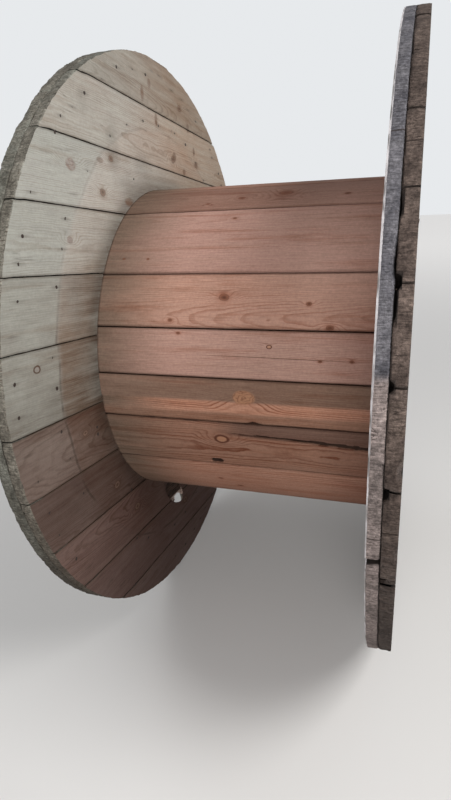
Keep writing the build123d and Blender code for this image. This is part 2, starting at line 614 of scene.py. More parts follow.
def noiseOf(place, scale=1.0, detail=2.0, roughness=0.5):
    node = addNode("TexNoise", {"Vector": place, "Scale": scale, "Detail": detail, "Roughness": roughness})
    return node.outputs["Fac"], node.outputs["Color"]


def chanceOf(value):
    return addNode("TexWhiteNoise", {"W": value}, noise_dimensions="1D").outputs


def attribute(name):
    return addNode("Attribute", {}, attribute_name=name).outputs["Vector"]


def objectPlace():
    return addNode("TexCoord", {}).outputs["Object"]


def steps(value, stops):
    node = addNode("ValToRGB", {0: value})
    line = node.color_ramp
    line.interpolation = "CONSTANT"
    for index, (position, colour) in enumerate(stops):
        stop = line.elements[index] if index < 2 else line.elements.new(position)
        stop.position = position
        stop.color = colour
    return node.outputs


def finishMaterial(colour, roughness, specular, height, strength, depth):
    shader = tree.nodes["Principled BSDF"]
    feed(shader.inputs["Base Color"], colour)
    shader.inputs["Roughness"].default_value = roughness
    shader.inputs["Specular IOR Level"].default_value = specular
    bump = addNode("Bump", {"Strength": strength, "Distance": depth, "Height": height})
    feed(shader.inputs["Normal"], bump.outputs[0])


pine = {
    "pithAside": 0.26, "pithNear": 0.020, "pithFar": 0.070, "tilt": 0.10, "warp": 0.014, "swell": 0.0224,
    "ruffle": 0.0022, "nudge": 0.0035, "knotStretch": 0.68, "eyeStretch": 0.40, "stray": (3.1, 4.6, 2.37),
    "bump": 0.0009, "specular": 0.10, "lowBoards": (5.2, 6.2),
}
# Patterns per metre along, across and into the grain, the shift from board to board, detail, roughness
weave = {
    "drift": (2.4, 8.0, 8.0, 5.3, 2.5, 0.5),
    "ripple": (42.0, 70.0, 0.0, 1.0, 1.5, 0.5),
    "fibre": (26.0, 560.0, 560.0, 0.0, 2.0, 0.6),
    "streak": (3.6, 75.0, 75.0, 1.0, 4.0, 0.7),
    "blotch": (6.5, 14.0, 14.0, 2.9, 4.0, 0.62),
    "crack": (2.6, 46.0, 46.0, 7.7, 2.0, 0.5),
    "saw": (330.0, 9.0, 0.0, 1.0, 1.0, 0.5),
}


def grainNoise(at, name):
    lengthwise, crosswise, inward, perBoard, detail, roughness = weave[name]
    place = vector(times(at.along, lengthwise), times(at.across, crosswise),
                   scaled(at.depth, inward, times(at.index, perBoard)))
    return noiseOf(place, detail=detail, roughness=roughness)


# Where a point of the surface is: in its board, on the drum, and in the patterns of the grain
def readPlace(look):
    at = SimpleNamespace()
    at.along, at.across, at.depth = split(attribute("grain"))
    at.index, at.halfWidth, at.worn = split(attribute("board"))
    at.position = objectPlace()
    at.x, at.y, upwards = split(at.position)
    at.z = minus(upwards, drum["centre"])
    at.reach = calc("SQRT", plus(times(at.y, at.y), times(at.z, at.z)))
    normal = addNode("NewGeometry", {}).outputs["Normal"]
    at.faceOn = calc("ABSOLUTE", split(normal)[0])
    at.endOn = calc("ABSOLUTE", vectorMath("DOT_PRODUCT", normal, look["grainAxis"]))
    at.drift, driftColour = grainNoise(at, "drift")
    at.driftA, at.driftB, _ = split(driftColour)
    at.ripple, _ = grainNoise(at, "ripple")
    at.fibre, _ = grainNoise(at, "fibre")
    at.streak, streakColour = grainNoise(at, "streak")
    at.streakA, at.streakB, _ = split(streakColour)
    at.blotch, blotchColour = grainNoise(at, "blotch")
    _, at.blotchB, at.blotchC = split(blotchColour)
    at.speck, _ = noiseOf(at.position, scale=210.0, detail=3.0, roughness=0.75)
    return at


# Distance to the nearest of some knots, each in its own radii; None when there are none
def nearestKnot(at, knots):
    nudged = plus(at.across, centred(at.ripple, pine["nudge"]))
    knotPlace = vector(times(at.along, pine["knotStretch"]), nudged, at.index)
    nearest = None
    for board, knotAlong, knotAcross, radius, _ in knots:
        away = vectorMath("DISTANCE", knotPlace, (knotAlong * pine["knotStretch"], knotAcross, board))
        nearest = least(nearest, times(away, 1 / radius))
    return nearest


# Growth rings as sawn from a log of each board's own, bent round the knots in eyes
def growthRings(at, look, nearDark):
    eyePlace = vector(times(at.along, pine["eyeStretch"]), at.across, at.index)
    bulge = ramp(nearDark, 0.2, 5.0, 0.012, 0.0)
    for board, knotAlong, knotAcross, radius, _ in look["knots"]:
        away = vectorMath("DISTANCE", eyePlace, (knotAlong * pine["eyeStretch"], knotAcross, board))
        bulge = plus(bulge, ramp(away, radius * 0.2, radius * 2.6 + 0.002, radius * 1.4, 0.0))
    chanceA, chanceB, chanceC = split(chanceOf(plus(at.index, look["seed"]))["Color"])
    sideways = plus(at.across, centred(chanceA, pine["pithAside"]), centred(at.driftA, pine["warp"]))
    downwards = plus(at.depth, scaled(chanceB, pine["pithFar"], pine["pithNear"]),
                     times(centred(chanceC, pine["tilt"]), at.along), centred(at.driftB, pine["swell"]))
    toPith = plus(centred(at.ripple, pine["ruffle"]), calc("SQRT", plus(
        times(sideways, sideways), times(downwards, downwards))))
    rings = calc("DIVIDE", plus(toPith, bulge), scaled(chanceB, look["ringSpread"], look["ringSpacing"]))
    inRing = calc("FRACT", rings)
    strength = chanceOf(scaled(at.index, 31.0, calc("FLOOR", rings)))["Value"]
    return times(ramp(inRing, 0.42, 0.88), ramp(inRing, 0.90, 1.0, 1.0, 0.0), scaled(strength, 0.75, 0.25))


# The knots themselves: dark ones, pale swirls and thin dark rings
def knotColours(at, look, colour, nearDark):
    core = ramp(nearDark, 0.80, 1.05, 1.0, 0.0)
    coreColour = blend(ramp(nearDark, 0.15, 0.95), look["knotDark"], look["knot"])
    colour = blend(times(core, look["knotStrength"]), colour, coreColour)
    edge = times(ramp(nearDark, 0.80, 1.0), ramp(nearDark, 1.05, 1.30, 1.0, 0.0))
    colour = blend(times(edge, 0.55), colour, look["knotDark"])
    pale = nearestKnot(at, [knot for knot in look["knots"] if knot[4] == "pale"])
    if pale:
        swirl = calc("FRACT", scaled(pale, 2.3, times(at.ripple, 5.5)))
        lines = times(ramp(swirl, 0.45, 0.80), ramp(swirl, 0.82, 1.0, 1.0, 0.0))
        paleColour = blend(times(lines, 0.75), look["paleKnot"], look["knot"])
        colour = blend(times(ramp(pale, 0.80, 1.15, 1.0, 0.0), 0.85), colour, paleColour)
    rung = nearestKnot(at, [knot for knot in look["knots"] if knot[4] == "ring"])
    if rung:
        line = times(ramp(rung, 0.62, 0.86), ramp(rung, 1.02, 1.30, 1.0, 0.0))
        colour = blend(ramp(rung, 0.60, 0.90, 0.6, 0.0), colour, look["paleKnot"])
        colour = blend(times(line, 0.95), colour, look["knotDark"])
    return colour


# The round rim, and the boards' narrow sides inside the gaps
def rimCoat(at, look, colour, relief):
    sideOn = ramp(at.faceOn, 0.35, 0.75, 1.0, 0.0)
    onRim = times(calc("MAXIMUM", sideOn, ramp(at.depth, 0.0006, 0.0014)), ramp(at.reach, 0.560, 0.568))
    inGap = times(sideOn, ramp(at.reach, 0.560, 0.568, 1.0, 0.0))
    fine, fineColour = noiseOf(at.position, scale=230.0, detail=4.0, roughness=0.75)
    coarse, coarseColour = noiseOf(at.position, scale=26.0, detail=4.0, roughness=0.65)
    coarseB = split(coarseColour)[1]
    endGrain = ramp(at.endOn, 0.45, 0.80)
    if look["paleBelow"] is not None:
        endGrain = ramp(at.z, look["paleBelow"] - 0.008, look["paleBelow"] + 0.008, 1.0, 0.0)
    rim = blend(endGrain, blend(ramp(coarse, 0.30, 0.70), look["rimDark"], look["rimLight"]),
                blend(ramp(coarseB, 0.30, 0.70), look["endDark"], look["endLight"]))
    nearBottom = ramp(at.z, -0.50, 0.30, look["bottomDark"], 0.0)  # darker towards the bottom
    rim = blend(nearBottom, rim, look["dirtAndShade"])
    ticks, _ = noiseOf(vector(times(at.x, 80.0), times(at.y, 620.0), times(at.z, 620.0)), detail=1.0)
    rim = darken(rim, times(
        scaled(fine, 2.8, -0.40), scaled(ticks, 1.6, 0.20), scaled(at.streak, 0.6, 0.70),
        ramp(at.z, 0.20, 0.48, 1.0, look["highDark"])))
    rim = blend(times(ramp(split(fineColour)[1], 0.62, 0.70), 0.55), rim, look["dirtAndShade"])
    rim = blend(times(ramp(split(fineColour)[2], 0.66, 0.72), 0.40), rim, look["fleck"])
    endCrack, _ = noiseOf(vector(times(at.depth, 22.0), times(at.across, 110.0), at.index), detail=3.0)
    cracks = times(endGrain, lineAt(minus(endCrack, 0.5), 0.0, 0.016), ramp(coarseB, 0.45, 0.60))
    for angle in look["rimSplits"]:
        facing = wayRound(math.radians(angle))
        beside = plus(times(at.y, facing.y), scaled(at.z, facing.z, centred(coarse, 0.008)))
        cracks = calc("MAXIMUM", cracks, lineAt(beside, 0.0004, 0.0018))
    rim = blend(times(cracks, 0.8), rim, look["dirtAndShade"])
    toSeam = scaled(fine, -0.004, minus(look["thickness"] + 0.002, at.depth))
    toSeam = scaled(coarse, -0.002, plus(toSeam, 0.001))
    bySeam = ramp(toSeam, look["seamLine"], look["seamLine"] + 0.0008, look["seamDark"], 0.0)
    # The seam's dark line, and painted shade: the deep worn hollows of the rim, such as the broken-out notch,
    # are painted nearly black
    hollowShade = ramp(at.worn, look["deepFrom"], look["deepFrom"] + 0.003, 0.0, 0.97)
    rim = blend(calc("MAXIMUM", bySeam, hollowShade), rim, look["hollowShade"])
    # Painted highlight: a pale line along the worn inner corner of the rim
    if look["cornerHighlight"]:
        edge = scaled(fine, 0.002, scaled(coarse, 0.002, at.depth))
        edge = plus(edge, ramp(at.z, -0.10, 0.25, 0.0010, 0.0))
        rim = blend(ramp(edge, 0.0040, 0.0050, 0.92, 0.0), rim, look["cornerHighlight"])
    colour = blend(times(inGap, 0.75), blend(onRim, colour, rim), look["gapColour"])
    return colour, scaled(onRim, scaled(fine, 3.2, times(coarse, 3.0)), relief)


def makeWood(name, look):
    material = startMaterial(name)
    at = readPlace(look)
    lengthwise, crosswise, perBoard = pine["stray"]
    strayPlace = vector(
        times(at.along, lengthwise), times(at.across, crosswise), scaled(at.index, perBoard, look["seed"]))
    stray = addNode("TexVoronoi", {"Scale": 1.0, "Vector": strayPlace}).outputs["Distance"]
    # boards from plainFrom to plainTo have only their listed knots
    bare = times(
        calc("GREATER_THAN", at.index, look["plainFrom"]), calc("LESS_THAN", at.index, look["plainTo"]))
    nearDark = scaled(bare, 50.0, calc("DIVIDE", stray, look["strayKnots"]))
    late = growthRings(at, look, nearDark)
    listed = nearestKnot(at, [knot for knot in look["knots"] if knot[4] == "dark"])
    if listed:
        nearDark = least(nearDark, listed)
    stops = [(number / 32, (*paint(*tone[:3])[:3], tone[3])) for number, tone in look["tones"].items()]
    tone, ringShare = steps(calc("DIVIDE", plus(at.index, 0.5), 32.0), stops)
    colour = blend(times(late, ringShare), tone, tint(tone, look["lateTint"]))
    for share in look["extra"](at):
        colour = blend(share[0], colour, *share[1:])
    halo = ramp(nearDark, 0.9, 2.6, 1.0, 0.0)
    colour = blend(times(halo, look["haloStrength"]), colour, tint(colour, look["haloTint"]))
    grey = ramp(scaled(at.streak, 0.6, times(at.blotch, 0.4)), 0.38, 0.64, 0.0, look["greyShare"])
    grey = times(grey, ramp(at.index, *pine["lowBoards"], 1.0, look["lowGrey"]))
    colour = blend(grey, colour, look["grey"])
    brown = ramp(scaled(at.streakB, 0.7, times(at.blotchB, 0.3)), 0.50, 0.66, 0.0, look["brownShare"])
    colour = blend(brown, colour, tint(colour, look["brown"]))
    colour = knotColours(at, look, colour, nearDark)
    crackNoise, _ = grainNoise(at, "crack")
    crack = lineAt(minus(crackNoise, 0.5), 0.0, 0.008)
    colour = blend(times(crack, ramp(at.blotchC, 0.52, 0.62, 0.0, look["cracks"])), colour, look["dirtAndShade"])
    patterns = {
        "fibre": at.fibre, "speck": at.speck, "blotch": at.blotch, "streak": at.streakA, "drift": at.drift}
    colour = darken(colour, times(*[swing(value, look[kind]) for kind, value in patterns.items()]))
    toJoint = minus(at.halfWidth, calc("ABSOLUTE", at.across))
    jointDirt = ramp(toJoint, 0.0004, look["jointReach"], look["jointDirt"], 0.0)
    colour = blend(times(jointDirt, scaled(at.streak, 0.8, 0.5)), colour, look["dirtAndShade"])
    saw, _ = grainNoise(at, "saw")
    relief = scaled(at.speck, 0.5, scaled(saw, look["sawMarks"], times(at.fibre, 0.60)))
    if look["rim"]:
        colour, relief = rimCoat(at, look, colour, relief)
    finishMaterial(colour, look["roughness"], pine["specular"], relief, look["bump"], pine["bump"])
    return material


# Nails: two rings and some by the barrel, in degrees from the top towards the front
nailRings = {
    "rimRadius": 0.568, "rimStep": 6.2, "rimSpread": 0.006,
    "rim": (
        15.2, 8.5, 1.8, -4.1, -7.4, -11.1, -17.6, -23.7, -27.9, -33.4, -45.1, -47.4, -53.8, 22.7, 27.8, 32.0,
        35.4, 39.8, 47.7, 54.8, 59.1, 64.7, 69.9, 76.9, 82.0, 88.5, 93.7, 100.5, 105.8, 114.0, 119.4, 124.8,
        129.9, 135.6, 142.0, 146.7, 152.6),
    "middleRadius": 0.475, "middleStep": 8.5, "middleSpread": 0.006,
    "middle": (-45, -37, -28, -20, -18, -9, 0, 9, 18.5, 32, 40, 46, 52, 60, 73.7, 80, 89, 96, 106, 123, 138.5,
               146, 155, 165),
    "footRadius": 0.379, "footSpread": 0.004,
    "foot": (12, -31, 96, 98, 128, 61),
    "head": 0.0034, "thick": 0.0016, "proud": 0.0002, "seed": 12,
    "stain": (0.020, 0.0036),  # half length and half width of the dark streak by a nail
}


def nailPlaces():
    chance = random.Random(nailRings["seed"])
    places = {}
    for ring in ("rim", "middle", "foot"):
        angles = list(nailRings[ring])
        if ring != "foot":  # the hidden rest of the ring
            hidden = max(angles) + nailRings[ring + "Step"]
            while hidden < 360 + min(angles) - 3:
                angles.append(hidden)
                hidden += nailRings[ring + "Step"] * chance.uniform(0.75, 1.3)
        radius, spread = nailRings[ring + "Radius"], nailRings[ring + "Spread"]
        places[ring] = [roundDrum(angle, radius + chance.uniform(-spread, spread)) for angle in angles]
    return places


def turnOf(place):
    return (math.atan2(-place[0], place[1]) / (2 * math.pi)) % 1.0


# The place of the nearest nail of a ring, looked up by the turn round the drum on stepped ramps
def nearestNail(turn, ring):
    ordered = sorted(ring, key=turnOf)
    turns = [turnOf(place) for place in ordered]
    starts = [0.0] + [(first + second) / 2 for first, second in zip(turns, turns[1:])]
    stops = [(start, ((y + 1) / 2, (z + 1) / 2, 0, 1)) for start, (y, z) in zip(starts, ordered)]
    found = None
    for first in range(0, len(stops), 30):  # a ramp holds 32 stops
        part = steps(turn, stops[first:first + 30])[0]
        found = part if found is None else blend(calc("GREATER_THAN", turn, starts[first]), found, part)
    return split(found)


# Distance to the nearest nail, stretched along the grain
def nailStain(at, layer):
    axes = [axis / half for axis, half in zip(axesOf(layer), nailRings["stain"])]
    turn = calc("FRACT", scaled(calc("ARCTAN2", times(at.y, -1.0), at.z), 1 / (2 * math.pi), 1.0))
    places = nailPlaces()
    nearest = None
    for ring in ("rim", "middle"):
        nailY, nailZ, _ = nearestNail(turn, places[ring])
        offset = vector(0.0, minus(at.y, scaled(nailY, 2.0, -1.0)), minus(at.z, scaled(nailZ, 2.0, -1.0)))
        lengthwise, crosswise = (vectorMath("DOT_PRODUCT", offset, axis) for axis in axes)
        nearest = least(nearest, vectorMath("LENGTH", vector(lengthwise, crosswise, 0.0)))
    return nearest


# Smudges on a face: along, across, half length, half width
def smudge(alongValue, acrossValue, spots, low=0.55, high=1.15):
    nearest = None
    for spotAlong, spotAcross, halfLength, halfWidth in spots:
        place = vector(times(alongValue, 1 / halfLength), times(acrossValue, 1 / halfWidth), 0.0)
        spot = (spotAlong / halfLength, spotAcross / halfWidth, 0)
        nearest = least(nearest, vectorMath("DISTANCE", place, spot))
    return ramp(nearest, low, high, 1.0, 0.0)


# What lies on the wood of one layer, each as a share, a colour and the way that it mixes
def flangeExtra(key):
    layer = layers[key]
    look = flangeLooks[key]
    acrossAxis = axesOf(layer)[1]

    def extra(at):
        whole = plus(times(at.y, acrossAxis.y), times(at.z, acrossAxis.z))
        edge = scaled(at.drift, 0.030, minus(at.reach, 0.015))
        inside = times(
            ramp(edge, 0.450, 0.468, 1.0, 0.0), scaled(at.blotchB, 1.8, -0.1, clamp=True),
            ramp(at.z, 0.10, 0.30, 1.0, look["insideUp"]), ramp(at.z, -0.22, -0.02, look["insideUp"], 1.0))
        outside = times(
            ramp(edge, 0.455, 0.472), scaled(at.blotch, 0.8, 0.3),
            ramp(at.index, *pine["lowBoards"], 1.0, look["lowGrey"]),
            ramp(at.y, -0.42, 0.05, 1.4, 0.5), ramp(at.z, -0.12, 0.12, look["lowGrey"], 1.0))
        line = times(
            lineAt(minus(edge, 0.463), 0.0010, 0.0045), ramp(at.blotch, 0.38, 0.56),
            ramp(at.z, 0.10, 0.26, 1.0, look["insideUp"]))
        # Round the barrel's foot: foot darkens the face with dirt and painted shade in the corner against the
        # barrel, and shade adds a wider painted shade round the barrel
        lower = ramp(at.z, -0.25, 0.05, 0.25, 1.0)
        foot = times(ramp(at.reach, 0.340, 0.385, look["footDirtAndShade"], 0.0), lower)
        shade = times(
            ramp(at.reach, 0.350, 0.450, look["footDirtAndShade"], 0.0), ramp(at.z, 0.22, 0.42, 1.0, 0.0), lower)
        front = times(ramp(at.y, -0.48, -0.25, look["frontDark"], 0.0), ramp(at.z, 0.02, 0.14, 1.0, 0.0),
                      ramp(at.z, -0.24, -0.12))
        warm = times(ramp(at.y, -0.12, 0.25), ramp(at.z, 0.0, 0.15, 0.0, look["warmth"]))
        stain = times(
            ramp(nailStain(at, layer), 0.1, 1.15, 1.0, 0.0), scaled(at.streak, 1.4, -0.15, clamp=True))
        shares = [
            (times(inside, look["insideShare"]), look["inside"], "MULTIPLY"),
            (times(outside, look["outsideShare"]), look["outside"]),
            (times(line, look["ringLine"]), look["dirtAndShade"]),
            (foot, look["dirtAndShade"]),
            (shade, (158, 142, 130), "MULTIPLY"),
            (front, (222, 220, 218), "MULTIPLY"),
            (warm, (252, 232, 216), "MULTIPLY"),
            (times(stain, look["stain"]), look["dirtAndShade"])]
        if look["smudges"]:
            spots = smudge(at.along, whole, look["smudges"])
            shares.append((times(spots, scaled(at.streakB, 1.4, -0.05, clamp=True)), look["rust"]))
        if look["shadows"]:
            spots = times(smudge(at.along, whole, look["shadows"], 0.2, 1.3), at.blotchB)
            shares.append((times(spots, 0.75), look["shadow"]))
        return shares
    return extra


# Marks of single staves: which one, then along, round from its middle, half length, half width
staveMarks = {"hollowShade": (5, (-0.044, 0.0463, 0.013, 0.0078)), "line": (3, (0.085, 0.0080, 0.150, 0.0008))}


def onlyStave(at, number):
    return calc("COMPARE", at.index, float(number), 0.3)


def staveExtra(at):
    waver = scaled(at.drift, 0.016, minus(at.across, 0.008))
    # painted shade in the corner where the staves meet the flanges
    foot = calc("MAXIMUM", ramp(at.x, -0.2548, -0.2510, 0.85, 0.0), ramp(at.x, 0.2510, 0.2548, 0.0, 0.85))
    splitSide = times(
        onlyStave(at, 5), ramp(at.x, -0.05, 0.03), ramp(waver, -0.028, -0.020, 1.0, 0.0))
    number, spot = staveMarks["hollowShade"]
    hollowShade = times(onlyStave(at, number), smudge(at.x, at.across, [spot], 0.80, 1.02))
    number, spot = staveMarks["line"]
    line = times(onlyStave(at, number), smudge(at.x, scaled(at.drift, 0.010, at.across), [spot], 0.5, 1.1))
    return [
        (times(ramp(at.x, -0.255, -0.08, 1.0, 0.0), scaled(at.blotch, 0.9, 0.5), 0.95), (94, 79, 67)),
        # painted shade where the staves meet the flanges
        (foot, (60, 48, 40)),
        (times(ramp(at.x, 0.13, 0.255), scaled(at.blotchB, 1.2, -0.1, clamp=True), 0.35), (146, 94, 86)),
        # painted light: the upper staves' right ends are lightened where the right flange shades them
        (times(ramp(at.x, 0.02, 0.25), ramp(at.z, 0.14, 0.24, 0.0, 0.55)), (222, 178, 162)),
        # the two brown bands of the fourth stave, and the dark side of the fifth one's split
        (times(onlyStave(at, 4), ramp(waver, -0.0035, 0.004, 1.0, 0.0), 0.85), (111, 89, 76)),
        (times(onlyStave(at, 4), ramp(waver, 0.020, 0.027), 0.70), (120, 90, 74)),
        (times(splitSide, 0.75), (92, 70, 62)),
        (times(ramp(at.streak, 0.56, 0.72), 0.35), (126, 84, 66)),
        # painted shade in the hole of the fallen-out knot
        (times(hollowShade, 0.97), (34, 20, 17)),
        # painted shade in the split, the knot hole and the deeper chips
        (ramp(at.worn, 0.0022, 0.0048, 0.0, 0.9), (40, 27, 22)),
        (times(line, 0.75), (70, 42, 34))]


# Looks of the woods. Tones give each board from that number on its colour and the strength of its rings.
# A knot is board, along, across, radius and kind. The left outer layer's look is where the others start
basicLook = {
    "seed": 41.0, "tones": {
        0: (142, 134, 122, 0.8), 3: (132, 126, 116, 0.7), 6: (150, 140, 126, 0.85),
        8: (126, 118, 108, 0.8)},
    "lateTint": (196, 178, 162), "ringSpacing": 0.0030, "ringSpread": 0.0018, "lowGrey": 1.0, "warmth": 0.0,
    "frontDark": 0.0, "inside": (226, 206, 192), "insideShare": 0.3, "insideUp": 1.0,
    "outside": (130, 130, 122), "outsideShare": 0.5, "ringLine": 0.0, "footDirtAndShade": 0.0, "stain": 0.9,
    "smudges": [], "shadows": [], "knots": [], "haloStrength": 0.4, "haloTint": (208, 190, 176),
    "knot": (104, 84, 72), "knotDark": (60, 46, 40), "knotStrength": 0.80, "grey": (136, 134, 128),
    "greyShare": 0.65, "brown": (200, 182, 168), "brownShare": 0.6, "plainFrom": 50.0, "plainTo": 60.0,
    "strayKnots": 0.050, "fibre": 0.18, "speck": 0.14, "blotch": 0.22, "streak": 0.18, "drift": 0.12,
    "jointDirt": 0.6, "jointReach": 0.006, "cracks": 0.8, "dirtAndShade": (48, 39, 33), "gapColour": (52, 44, 36),
    "roughness": 0.88, "bump": 0.6, "sawMarks": 0.40, "rim": True, "rimLight": (122, 122, 114),
    "rimDark": (83, 81, 74), "endLight": (120, 116, 107), "endDark": (80, 76, 69), "fleck": (174, 170, 160),
    "bottomDark": 0.72, "rimSplits": [], "deepFrom": 0.006, "cornerHighlight": None, "seamLine": 0.0004,
    "seamDark": 0.30, "hollowShade": (62, 52, 43), "paleBelow": None, "highDark": 1.0,
}
flangeLooks = {
    "left_inner": {
        # the inner face's boards go from pale grey at the top to dark brown at the bottom: partly the wood's
        # own colour, partly painted shade
        "seed": 3.0, "tones": {
            0: (134, 124, 115, 0.65), 1: (150, 143, 135, 0.65), 2: (178, 175, 168, 0.60),
            3: (184, 181, 175, 0.75), 4: (179, 169, 160, 0.75), 5: (151, 140, 130, 0.70),
            6: (124, 105, 97, 0.70), 7: (105, 86, 79, 0.70), 8: (112, 89, 82, 0.70), 9: (110, 88, 82, 0.70),
            10: (114, 93, 87, 0.70)},
        "lateTint": (190, 172, 156), "ringSpacing": 0.0019, "ringSpread": 0.0012, "lowGrey": 0.15,
        "warmth": 0.9, "frontDark": 0.9, "inside": (220, 198, 180), "insideShare": 0.85, "insideUp": 0.30,
        "outside": (148, 152, 144), "outsideShare": 0.48, "ringLine": 0.60, "footDirtAndShade": 0.55, "stain": 0.60,
        "smudges": [
            (-0.0968, 0.518, 0.0085, 0.0160), (-0.0338, 0.4826, 0.0080, 0.0150),
            (-0.2833, 0.3629, 0.014, 0.0055), (0.187, 0.452, 0.008, 0.0120), (-0.062, 0.545, 0.009, 0.010),
            (0.118, 0.395, 0.0110, 0.0080), (0.060, 0.420, 0.012, 0.012), (-0.180, 0.300, 0.020, 0.009),
            (0.150, 0.500, 0.010, 0.012)],
        "rust": (104, 74, 56),
        "shadows": [
            (-0.235, 0.395, 0.030, 0.055), (-0.110, 0.375, 0.040, 0.030), (-0.330, 0.450, 0.020, 0.025),
            (-0.180, 0.330, 0.060, 0.020), (-0.400, 0.120, 0.030, 0.060)],
        "shadow": (118, 112, 104),
        "knots": [
            (3, -0.3798, 0.0113, 0.0100, "pale"), (3, -0.281, -0.0225, 0.0060, "dark"),
            (3, -0.2434, 0.0401, 0.0050, "dark"), (4, 0.2006, -0.0174, 0.0065, "dark"),
            (4, 0.051, -0.0273, 0.0060, "dark"), (0, -0.5191, 0.0323, 0.0054, "ring"),
            (2, -0.3993, 0.0012, 0.0060, "pale"), (5, 0.100, -0.015, 0.0060, "dark"),
            (6, -0.40, 0.012, 0.0050, "dark"), (7, -0.30, -0.018, 0.0065, "dark"),
            (8, -0.22, 0.010, 0.0070, "dark"), (9, 0.05, 0.020, 0.0070, "dark")],
        "haloStrength": 0.45, "haloTint": (214, 194, 180), "knot": (132, 108, 94), "knotDark": (86, 66, 55),
        "paleKnot": (146, 137, 131), "knotStrength": 0.75, "grey": (156, 157, 150), "greyShare": 0.35,
        "brown": (206, 186, 172), "brownShare": 0.40, "plainFrom": -1.0, "fibre": 0.22, "speck": 0.20,
        "blotch": 0.20, "streak": 0.20, "jointDirt": 0.40, "jointReach": 0.0040, "cracks": 0.35,
        "dirtAndShade": (62, 50, 41), "gapColour": (70, 58, 46), "bump": 0.45, "sawMarks": 0.35,
        "rimLight": (124, 124, 116), "rimDark": (85, 83, 76), "endLight": (122, 118, 109),
        "endDark": (82, 78, 71), "fleck": (178, 174, 164), "deepFrom": 0.0045},
    "left_outer": {},
    "right_inner": {
        "seed": 77.0, "tones": {
            0: (150, 138, 128, 0.7), 3: (140, 128, 118, 0.7), 6: (158, 144, 132, 0.8),
            9: (136, 122, 112, 0.8)},
        "lateTint": (200, 182, 168), "ringSpacing": 0.0029, "inside": (226, 196, 178), "insideShare": 0.6,
        "outside": (140, 140, 132), "outsideShare": 0.45, "ringLine": 0.35, "footDirtAndShade": 0.4, "stain": 0.85,
        "haloTint": (210, 192, 178), "knot": (116, 92, 78), "knotDark": (70, 52, 44), "knotStrength": 0.75,
        "grey": (144, 142, 136), "greyShare": 0.45, "brown": (204, 184, 170), "brownShare": 0.55,
        "fibre": 0.16, "speck": 0.12, "blotch": 0.18, "streak": 0.16, "jointDirt": 0.45,
        "jointReach": 0.005, "cracks": 0.5, "dirtAndShade": (44, 37, 34), "gapColour": (60, 50, 42),
        "roughness": 0.86, "bump": 0.55, "sawMarks": 0.35, "rimLight": (104, 102, 106),
        "rimDark": (72, 71, 76), "endLight": (148, 135, 131), "endDark": (104, 95, 92),
        "fleck": (158, 154, 155), "bottomDark": 0.10, "rimSplits": [44.8, 93.4], "deepFrom": 0.0050,
        "cornerHighlight": (198, 194, 196), "seamLine": 0.0003, "seamDark": 0.95, "hollowShade": (16, 12, 10),
        "paleBelow": 0.1734, "highDark": 0.88},
    "right_outer": {
        "seed": 133.0, "tones": {
            0: (134, 124, 114, 0.8), 2: (126, 118, 110, 0.8), 5: (142, 130, 118, 0.8),
            8: (120, 112, 106, 0.8)},
        "outside": (126, 126, 120), "knot": (100, 80, 68), "knotDark": (58, 44, 38),
        "grey": (130, 128, 124), "dirtAndShade": (36, 30, 27), "gapColour": (36, 30, 27), "rimLight": (101, 91, 86),
        "rimDark": (67, 60, 57), "endLight": (105, 92, 85), "endDark": (64, 55, 51),
        "fleck": (130, 122, 115), "bottomDark": 0.60, "rimSplits": [46.4, 92.3], "deepFrom": 0.0050,
        "seamLine": 0.0003, "seamDark": 0.95, "hollowShade": (16, 12, 10), "highDark": 0.70},
}
layerWood = {}
for key, layer in layers.items():
    flangeLooks[key] = look = {**basicLook, **flangeLooks[key]}
    look["thickness"] = abs(layer["seam"] - layer["shown"])
    look["grainAxis"] = axesOf(layer)[0]
    look["extra"] = flangeExtra(key)
    layerWood[key] = makeWood(key + "Pine", look)

